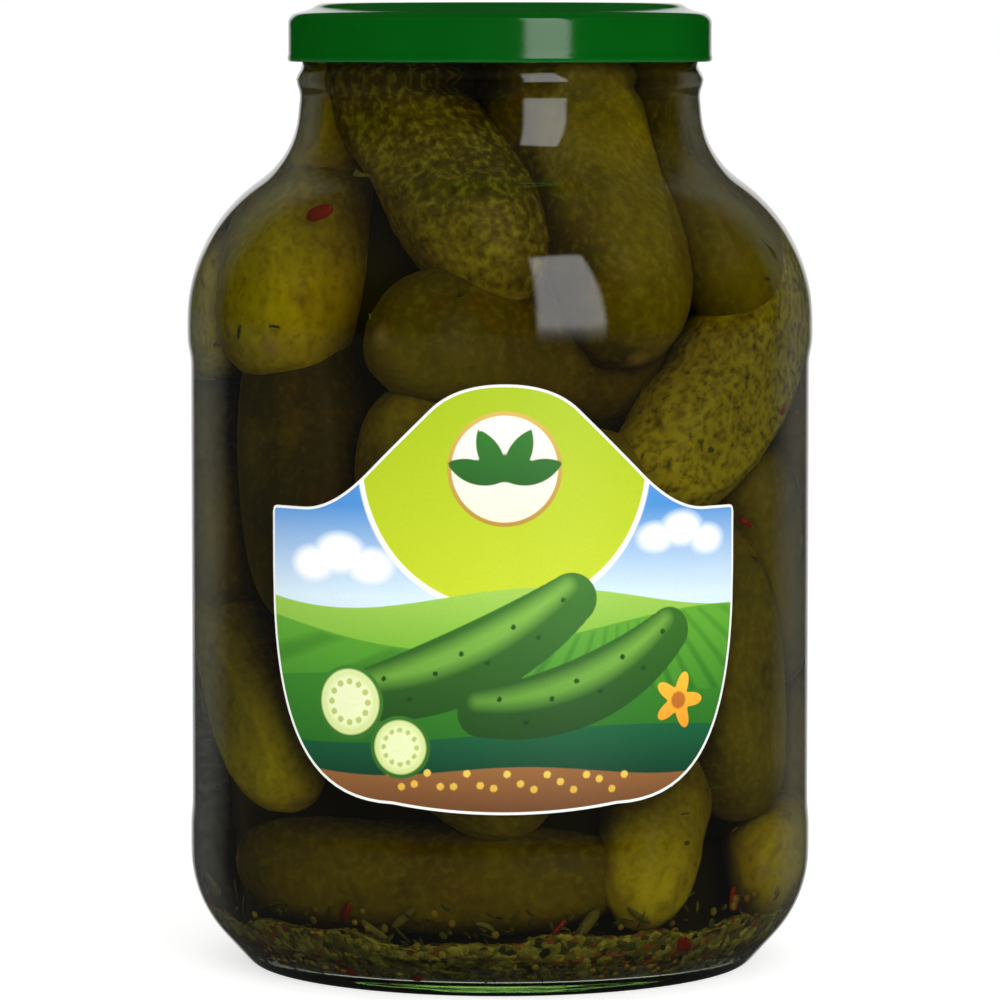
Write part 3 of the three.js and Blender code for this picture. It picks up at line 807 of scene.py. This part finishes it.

inner = CAP_RADIUS - CAP_WALL
ring_inside = STACK_RING_RADIUS - STACK_RING_WIDTH
cap_profile = [
    (0, CAP_UNDERSIDE),
    (inner - CAP_CORNER, CAP_UNDERSIDE),
    (inner, CAP_UNDERSIDE - CAP_CORNER),
    (inner, CAP_BOTTOM + CURL),
    (inner - CURL_GROOVE, CAP_BOTTOM),
    (CAP_RADIUS - CURL_GROOVE, CAP_BOTTOM),
    (CAP_RADIUS, CAP_BOTTOM + CURL / 4),
    (CAP_RADIUS, CAP_BOTTOM + CURL),
    (CAP_RADIUS - CURL_GROOVE, CAP_BOTTOM + CURL + CURL_GROOVE),
    (CAP_RADIUS - CURL_GROOVE, CAP_CORNER_HEIGHT),
    (CAP_RADIUS - 2 * CAP_ROUND, CAP_CORNER_HEIGHT + CAP_CORNER),
    (STEP_RADIUS, STEP_HEIGHT - CAP_ROUND / 2),
    (STEP_RADIUS - 2 * CAP_ROUND, STEP_HEIGHT),
    (STACK_RING_RADIUS + CAP_ROUND, STEP_HEIGHT + CAP_ROUND),
    (STACK_RING_RADIUS - CAP_ROUND, CAP_TOP - CAP_ROUND / 2),
    (STACK_RING_RADIUS - 3 * CAP_ROUND, CAP_TOP),
    (ring_inside + 3 * CAP_ROUND, CAP_TOP),
    (ring_inside, CAP_TOP - CAP_ROUND),
    (ring_inside - 2 * CAP_ROUND, CAP_PANEL_HEIGHT),
    (BUTTON_RADIUS + BUTTON_SLOPE, CAP_PANEL_HEIGHT),
    (BUTTON_RADIUS, CAP_PANEL_HEIGHT + BUTTON_RISE),
    (0, CAP_PANEL_HEIGHT + BUTTON_RISE),
]

# Stoved lacquer over tinplate: glossy with a faint orange peel, and paler on sharp edges, where
# the lacquer is thinner and a highlight is painted into the colour.
lacquer, tree, place = new_material("green_lacquered_tinplate")
edge = node(tree, "ShaderNodeAttribute", attribute_name="edge").outputs["Fac"]
# Paler where the profile bends sharply: thinner lacquer, and a highlight painted into the colour.
thin = node(
    tree, "ShaderNodeMapRange", {"Value": edge, 1: WEAR_AND_HIGHLIGHT_BEND[0], 2: WEAR_AND_HIGHLIGHT_BEND[1], 3: 0.0, 4: 0.6}
)
colour, _ = patchy(tree, place, LACQUER_GREEN, LACQUER_BRIGHT, LACQUER_DRIFT, 2.0)
colour = layered(tree, colour, [(thin, linear(LACQUER_WEAR_AND_HIGHLIGHT))])
peel = node(
    tree, "ShaderNodeTexNoise", {"Vector": place, "Scale": 1 / (ORANGE_PEEL * MM), "Detail": 1.0}
)
gloss = node(tree, "ShaderNodeMapRange", {"Value": peel, 3: 0.08, 4: 0.16})
relief = node(tree, "ShaderNodeBump", {"Height": peel, "Strength": 0.06, "Distance": 0.1 * MM})
finished(tree, {"Base Color": colour, "Roughness": gloss, "IOR": 1.5, "Normal": relief})
cap_line = softened(cap_profile, CAP_STEP)
runs = np.diff(cap_line, axis=0)
bend = np.diff(np.unwrap(np.arctan2(runs[:, 1], runs[:, 0])))
cap = add_mesh("cap", *turned(cap_line, CAP_SEGMENTS), lacquer)
stored = cap.data.attributes.new("edge", "FLOAT", "POINT")
on_points = np.concatenate([[0], np.repeat(bend, CAP_SEGMENTS), [0]])
stored.data.foreach_set("value", on_points.astype(np.float32))
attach(cap, "root")
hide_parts("lid")


# The label. Coated paper, printed in bright inks, die-cut to a domed outline with square ears, and
# glued round the front of the jar in the band that is set back for it.
LABEL_GAP = 0.05
LABEL_THICKNESS = 0.14
LABEL_CENTRE = 1.2
LABEL_HALF_WIDTH = 65.8
LABEL_BOTTOM = 49.2
LABEL_SHOULDER = 126.2
LABEL_TOP = 158.4
DOME_HALF_WIDTH = 19
DOME_DROP = 6.4
SLOPE_HALF_WIDTH = 36
SLOPE_RISE = 9.4
EAR_START = 55
EAR_CORNER = 1.8
EAR_DEPTH = 16
FOOT_HALF_WIDTH = 29
FOOT_RISE = 2.2
SIDE_PULL = 30
PAPER_COLUMNS = 190
PAPER_ROWS = 150
WHITE_BORDER = 0.7
PRINT_SCREEN = 0.8  # coarser than a real one, so that it just shows
SUN = (0, 139)
FLOWER = (47, 77)
ROUNDEL = (0, 137)
FURROWS = 46  # to a full turn about the place where they meet
FURROWS_MEET = (30, 118)
FAR = 1e9


def bezier(*controls, steps=24):
    """Points of a Bezier curve, from its first control to its last."""
    t = np.linspace(0, 1, steps + 1)[:, None]
    points = [np.array(c, float)[None] for c in controls]
    while len(points) > 1:
        points = [a * (1 - t) + b * t for a, b in zip(points, points[1:])]
    return points[0]


def label_edges():
    """The right half of the flat outline: its upper edge and its lower edge, from the middle out."""
    top = (DOME_HALF_WIDTH, LABEL_TOP - DOME_DROP)
    low = (SLOPE_HALF_WIDTH, LABEL_SHOULDER + SLOPE_RISE)
    run = (low[0] - top[0]) / (top[1] - low[1])
    ear = LABEL_SHOULDER - EAR_DEPTH
    foot = LABEL_BOTTOM + FOOT_RISE
    corner = LABEL_HALF_WIDTH - EAR_CORNER
    upper = [
        bezier((0, LABEL_TOP), (top[0] - DOME_DROP * run, LABEL_TOP), top),
        bezier(low, (low[0] + SLOPE_RISE * run, LABEL_SHOULDER), (EAR_START, LABEL_SHOULDER)),
        bezier(
            (corner, LABEL_SHOULDER),
            (LABEL_HALF_WIDTH, LABEL_SHOULDER),
            (LABEL_HALF_WIDTH, LABEL_SHOULDER - EAR_CORNER),
        ),
    ]
    lower = [
        bezier((0, LABEL_BOTTOM), (FOOT_HALF_WIDTH / 2, LABEL_BOTTOM), (FOOT_HALF_WIDTH, foot)),
        bezier(
            (FOOT_HALF_WIDTH, foot),
            (FOOT_HALF_WIDTH + SIDE_PULL, foot),
            (LABEL_HALF_WIDTH, ear - SIDE_PULL),
            (LABEL_HALF_WIDTH, ear),
        ),
    ]
    return np.concatenate(upper), np.concatenate(lower)


upper, lower = label_edges()
spread = np.sin(np.linspace(-np.pi / 2, np.pi / 2, PAPER_COLUMNS))
columns = LABEL_HALF_WIDTH * (0.5 * spread + 0.5 * np.linspace(-1, 1, PAPER_COLUMNS))
top_edge = np.interp(np.abs(columns), *upper.T)
bottom_edge = np.interp(np.abs(columns), *lower.T)
climb = np.linspace(0, 1, PAPER_ROWS)[None]
height = bottom_edge[:, None] + (top_edge - bottom_edge)[:, None] * climb
across = np.repeat(columns[:, None], PAPER_ROWS, axis=1)


def disc(x, z, radius, squash=1.0):
    """How far each point of the paper lies outside a disc, or inside it where below zero."""
    return np.hypot(across - x, (height - z) / squash) - radius


def from_piece(sideways, a, b):
    """How far each point lies from a straight piece, and the nearest place's share of the piece."""
    run = b - a
    share = (((sideways - a[0]) * run[0] + (height - a[1]) * run[1]) / (run @ run)).clip(0, 1)
    return np.hypot(sideways - a[0] - share * run[0], height - a[1] - share * run[1]), share


def stroke(points, radius, taper=0.3):
    """How far each point lies outside a rounded stroke along a curve, thinner at its ends."""
    nearest = np.full(across.shape, FAR)
    for i, (a, b) in enumerate(zip(points, points[1:])):
        away, share = from_piece(across, a, b)
        along = 2 * (i + share) / (len(points) - 1) - 1
        nearest = np.minimum(nearest, away - radius * (1 - taper * along**2))
    return nearest


def leaf(x, z, length, width, tilt):
    """A pointed leaf: where two discs overlap."""
    turn = math.radians(tilt)
    u = (across - x) * math.cos(turn) + (height - z) * math.sin(turn)
    v = -(across - x) * math.sin(turn) + (height - z) * math.cos(turn)
    bulge = ((length / 2) ** 2 - (width / 2) ** 2) / width
    reach_out = bulge + width / 2
    return np.maximum(np.hypot(u, v - bulge), np.hypot(u, v + bulge)) - reach_out


def union(*fields):
    return np.minimum.reduce(fields)


def hill(level, swell, period, phase):
    """Everything below a rolling line."""
    return height - level - swell * np.sin(across / period + phase)


GHERKIN_ONE = bezier((-36, 79), (-8, 84), (17, 104))
GHERKIN_TWO = bezier((-6, 75), (22, 76), (44, 95))
SLICES = [(-41, 77, 9.5), (-27, 66, 8.0)]
far_hill = hill(104, 3.0, 17, 1.0)
near_hill = hill(96, 5.0, 24, -0.9)
rows_angle = np.arctan2(height - FURROWS_MEET[1], across - FURROWS_MEET[0])
furrows = np.maximum(near_hill + 0.6, 0.55 - np.sin(FURROWS * rows_angle))
sprig = [
    leaf(8 * math.sin(t), 134 + 7 * math.cos(t), 15, 6, 90 - math.degrees(t))
    for t in (-1.25, -0.45, 0.45, 1.25)
]
spots = [
    disc(*(curve[k] + (0, way * 3.4)), 0.75)
    for curve in (GHERKIN_ONE, GHERKIN_TWO)
    for k, way in zip(range(2, 24, 3), (1, -1, 0.3, 1, -0.6, 1, -1, 0.4))
]
seeds = [
    disc(x + 0.55 * r * math.cos(a), z + 0.55 * r * math.sin(a), 0.09 * r)
    for x, z, r in SLICES
    for a in np.radians(np.arange(0, 360, 30))
]
around_flower = np.arctan2(height - FLOWER[1], across - FLOWER[0])
petals = disc(*FLOWER, 7.5 * (0.72 + 0.28 * np.cos(5 * around_flower)))
mustard = [disc(x, 57.5 + 2.2 * math.sin(3.1 * x), 1.0) for x in np.arange(-30, 34, 3.4)]

# Each field of ink: its colour low down and high up, between which heights it turns from one to
# the other, how soft its edge is, and its shape. Later ones are printed over earlier ones.
INKS = [
    ("sky", "#d7ebf7", "#4c93d8", 104, 127, 0.15, np.full(height.shape, -1.0)),
    ("cloud", "#ffffff", "#f4fafd", 110, 124, 1.6, union(
        disc(-52, 112, 6, 0.7), disc(-44, 115, 7, 0.7), disc(-35, 112, 6, 0.7),
        disc(40, 119, 5, 0.7), disc(48, 121, 6, 0.7), disc(56, 118, 5, 0.7))),
    ("sun_rim", "#f7fbe0", "#ffffff", 100, 150, 0.3, disc(*SUN, 38.6)),
    ("sun", "#c9d91c", "#a9c402", 100, 158, 0.15, disc(*SUN, 37.2)),
    ("far_hill", "#7fbb33", "#a5cf52", 92, 108, 0.15, far_hill),
    ("near_hill", "#3f8f1f", "#62ac2b", 80, 100, 0.15, near_hill),
    ("furrows", "#2c7417", "#4d9722", 80, 98, 0.5, furrows),
    ("meadow", "#23701a", "#3a8a1e", 66, 88, 0.15, hill(82, 3.0, 30, 2.4)),
    ("band", "#06432a", "#0d6a3c", 58, 74, 0.15, hill(69, 2.6, 26, 0.4)),
    ("soil", "#6b3f1c", "#9a6530", 49, 62, 0.15, hill(60, 1.4, 13, 1.2)),
    ("mustard", "#d9a62a", "#f0cf5a", 54, 62, 0.15, union(*mustard)),
    ("gherkin_dark", "#1f5016", "#3c7d22", 70, 110, 0.15, union(
        stroke(GHERKIN_ONE, 9.5), stroke(GHERKIN_TWO, 8.6))),
    ("gherkin_light", "#5c9a2c", "#86bd45", 74, 110, 1.8, union(
        stroke(GHERKIN_ONE + (-1, 3.4), 3.0, 0.6), stroke(GHERKIN_TWO + (-1, 3.0), 2.7, 0.6))),
    ("gherkin_spots", "#173f10", "#2a6118", 70, 110, 0.15, union(*spots)),
    ("slice_rim", "#2f6b1c", "#3f8426", 56, 88, 0.15, union(*[disc(*s) for s in SLICES])),
    ("slice_flesh", "#cfe08a", "#dceaa2", 56, 88, 0.25, union(
        *[disc(x, z, r - 1.1) for x, z, r in SLICES])),
    ("slice_heart", "#e6efb4", "#eef4c6", 56, 88, 0.8, union(
        *[disc(x, z, 0.68 * r) for x, z, r in SLICES])),
    ("slice_seeds", "#b3c463", "#bccb70", 56, 88, 0.15, union(*seeds)),
    ("petals", "#ee9a16", "#f7c02e", 70, 84, 0.15, petals),
    ("flower_heart", "#b5600f", "#c8781a", 70, 84, 0.3, disc(*FLOWER, 2.2)),
    ("roundel_rim", "#b98f2c", "#d8b456", 122, 150, 0.15, disc(*ROUNDEL, 14.6)),
    ("roundel", "#f3edd4", "#fbf8ea", 122, 150, 0.15, disc(*ROUNDEL, 13.5)),
    ("sprig", "#1d5c1c", "#2f7f24", 126, 148, 0.15, union(*sprig)),
]
outline = np.vstack([upper, lower[::-1]])
to_edge = np.full(across.shape, FAR)
for a, b in zip(outline, np.roll(outline, -1, axis=0)[:-1]):
    if (a != b).any():
        to_edge = np.minimum(to_edge, from_piece(np.abs(across), a, b)[0])
INKS.append(("white_border", "#f4f5ef", "#fbfbf6", 49, 158, 0.1, to_edge - WHITE_BORDER))

# Printed paper: flat inks with a fine screen, under a thin varnish that leaves it half glossy.
print_ink, tree, _ = new_material("printed_coated_paper")
flat = node(tree, "ShaderNodeAttribute", attribute_name="flat")
level = node(tree, "ShaderNodeSeparateXYZ", {0: flat.outputs["Vector"]}).outputs["Y"]
layers = []
for name, low, high, start, stop, blur, _ in INKS:
    field = node(tree, "ShaderNodeAttribute", attribute_name=name).outputs["Fac"]
    mask = node(tree, "ShaderNodeMapRange", {"Value": field, 1: blur, 2: -blur, 3: 0.0, 4: 1.0})
    rise = node(tree, "ShaderNodeMapRange", {"Value": level, 1: start * MM, 2: stop * MM})
    ink = node(
        tree, "ShaderNodeMix", {"Factor": rise, 6: linear(low), 7: linear(high)}, data_type="RGBA"
    )
    layers.append((mask, ink.outputs[2]))
screen = node(
    tree, "ShaderNodeTexNoise", {"Vector": flat.outputs["Vector"], "Scale": 1 / (PRINT_SCREEN * MM)}
)
uneven = node(tree, "ShaderNodeMapRange", {"Value": screen, 1: 0.3, 2: 0.7, 3: 0.97, 4: 1.01})
screened = node(
    tree,
    "ShaderNodeMix",
    {"Factor": 1.0, 6: layered(tree, linear("#f6f6f1"), layers), 7: uneven},
    data_type="RGBA",
    blend_type="MULTIPLY",
)
fibre = node(tree, "ShaderNodeBump", {"Height": screen, "Strength": 0.05, "Distance": 0.05 * MM})
colour = screened.outputs[2]
finished(tree, {"Base Color": colour, "Roughness": 0.42, "IOR": 1.45, "Normal": fibre})

label_radius = PANEL_RADIUS + LABEL_GAP + LABEL_THICKNESS
turn = (across + LABEL_CENTRE) / label_radius
sheet = np.stack([label_radius * np.sin(turn), -label_radius * np.cos(turn), height], -1)
corner = np.arange(PAPER_COLUMNS * PAPER_ROWS).reshape(PAPER_COLUMNS, PAPER_ROWS)
label = add_mesh("label_paper", sheet.reshape(-1, 3), sheet_quads(corner).tolist(), print_ink)
for name, *_, field in INKS:
    stored = label.data.attributes.new(name, "FLOAT", "POINT")
    stored.data.foreach_set("value", field.astype(np.float32).ravel())
stored = label.data.attributes.new("flat", "FLOAT_VECTOR", "POINT")
on_paper = np.stack([across, height, np.zeros_like(height)], -1) * MM
stored.data.foreach_set("vector", on_paper.astype(np.float32).ravel())
paper = label.modifiers.new("thickness", "SOLIDIFY")
paper.thickness = LABEL_THICKNESS * MM
paper.offset = -1
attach(label, "root")
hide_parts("label")


# The stage: a pale floor as wide as the eye can see, a tall softbox to the right of the camera and
# a wide fill behind it. The floor is kept out of what the glass mirrors and of what shows through
# it, where its white would veil the gherkins.
FLOOR_SIDE = 160000
SOFTBOX_DISTANCE = 1000
SOFTBOX_TURN = 25  # degrees to the right of the camera
SOFTBOX_WIDTH = 480
SOFTBOX_HEIGHT = 1180
SOFTBOX_MIDDLE = 700
SOFTBOX_POWER = 6.4
SOFTBOX_FADE = 0.12  # share of its width over which its light fades out at each rim
FILL_SIDE = 2000
FILL_PLACE = (650, -2250, 700)
FILL_POWER = 34.0
BOARD_GLOW = 0.62  # brings it up to the white behind it

# Painted board: matt white, with the faintest clouds of the roller.
BOARD_CLOUD = 40
floor_finish, tree, place = new_material("matt_white_board")
colour, _ = patchy(tree, place, "#f4f4f2", "#f8f8f6", BOARD_CLOUD, 3.0)
glow = {"Emission Color": linear("#ffffff"), "Emission Strength": BOARD_GLOW}
finished(tree, {"Base Color": colour, "Roughness": 0.9, **glow})
floor_finish.cycles.emission_sampling = "NONE"
half = FLOOR_SIDE / 2
corners = [(-half, -half, 0), (half, -half, 0), (half, half, 0), (-half, half, 0)]
floor = add_mesh("floor", corners, [(0, 1, 2, 3)], floor_finish)
floor.visible_glossy = False
floor.visible_transmission = False


def lamp(name, place, aim, width, depth, power):
    """A rectangular soft lamp at a place, turned to face another, all in millimetres."""
    light = bpy.data.lights.new(name, "AREA")
    light.shape = "RECTANGLE"
    light.size, light.size_y = width * MM, depth * MM
    light.energy = power
    made = bpy.data.objects.new(name, light)
    made.location = Vector(place) * MM
    made.rotation_euler = (Vector(aim) - Vector(place)).to_track_quat("-Z", "Y").to_euler()
    bpy.context.collection.objects.link(made)
    return made


aside = math.radians(SOFTBOX_TURN)
beside = (SOFTBOX_DISTANCE * math.sin(aside), -SOFTBOX_DISTANCE * math.cos(aside))
box_size = (SOFTBOX_WIDTH, SOFTBOX_HEIGHT)
softbox = lamp("softbox", (*beside, SOFTBOX_MIDDLE), (0, 0, SOFTBOX_MIDDLE), *box_size, SOFTBOX_POWER)
fill = lamp("fill", FILL_PLACE, (0, 0, CAP_TOP / 2), FILL_SIDE, FILL_SIDE, FILL_POWER)
softbox.data.use_nodes = True
tree = softbox.data.node_tree
on_face = node(tree, "ShaderNodeNewGeometry").outputs["Parametric"]
face = node(tree, "ShaderNodeSeparateXYZ", {0: on_face})
fades = []
for axis in "XY":
    inward = node(tree, "ShaderNodeMath", {0: face.outputs[axis], 1: 0.5}, operation="PINGPONG")
    from_rim = {"Value": inward, 2: SOFTBOX_FADE}
    fades.append(node(tree, "ShaderNodeMapRange", from_rim, interpolation_type="SMOOTHSTEP"))
lit = node(tree, "ShaderNodeMath", {0: fades[0], 1: fades[1]}, operation="MULTIPLY")
tree.links.new(lit.outputs[0], tree.nodes["Emission"].inputs["Strength"])
for light in (softbox, fill):
    light.visible_camera = False
    light.visible_transmission = False
softbox.visible_diffuse = False
fill.visible_glossy = False

# To the eye the air is white all round, and to matt surfaces an even grey. Gloss and clear glass
# find it white only behind the jar, where the backdrop stands, and dim or dark elsewhere.
DIFFUSE_AIR = 0.45
TABLE_AIR = 0.04  # the dim foot of the studio, mirrored by upright glass
TABLE_EDGE = (0.0, -0.04)  # how steeply down it starts and is fully there
CEILING_AIR = 0.035
CEILING_EDGE = (0.25, 0.7)
BACKDROP_END = 0.93  # cosine of the turn at which the backdrop ends for what is mirrored
BACKDROP_FADE = (0.95, 0.985)  # where its even white starts, well above the table and at its foot
BACKDROP_SEEN = (0.55, 0.8)  # where it ends and where it is even, seen through the clear glass
UNDERSIDE = (-0.2, -0.45)  # how steeply down the eye finds the shade under the jar instead
UNDERSIDE_AIR = 0.1
world = bpy.data.worlds.new("studio")
bpy.context.scene.world = world
world.use_nodes = True
tree = world.node_tree
tree.nodes.clear()
where = node(tree, "ShaderNodeTexCoord").outputs["Generated"]
toward = node(tree, "ShaderNodeSeparateXYZ", {0: where}).outputs
below, above, full, shaded = [
    node(tree, "ShaderNodeMapRange", {"Value": toward["Z"], 1: start, 2: stop, 3: low, 4: high})
    for start, stop, low, high in (
        (*TABLE_EDGE, 0.0, TABLE_AIR),
        (*CEILING_EDGE, 0.0, CEILING_AIR),
        (0.1, 0.0, *BACKDROP_FADE),
        (*UNDERSIDE, 1.0, UNDERSIDE_AIR),
    )
]
around = node(tree, "ShaderNodeMath", {0: below, 1: above}, operation="ADD")
mirrored, seen = [
    node(tree, "ShaderNodeMapRange", {"Value": toward["Y"], 1: start, 2: stop, 3: around, 4: white})
    for start, stop, white in ((BACKDROP_END, full, 1.0), (*BACKDROP_SEEN, shaded))
]
rays = node(tree, "ShaderNodeLightPath").outputs
air = 1.0
for ray, found in (("Diffuse", DIFFUSE_AIR), ("Glossy", mirrored), ("Transmission", seen)):
    air = node(tree, "ShaderNodeMix", {"Factor": rays[f"Is {ray} Ray"], 2: air, 3: found})
light = node(tree, "ShaderNodeBackground", {"Color": linear("#ffffff"), "Strength": air})
node(tree, "ShaderNodeOutputWorld", {"Surface": light})
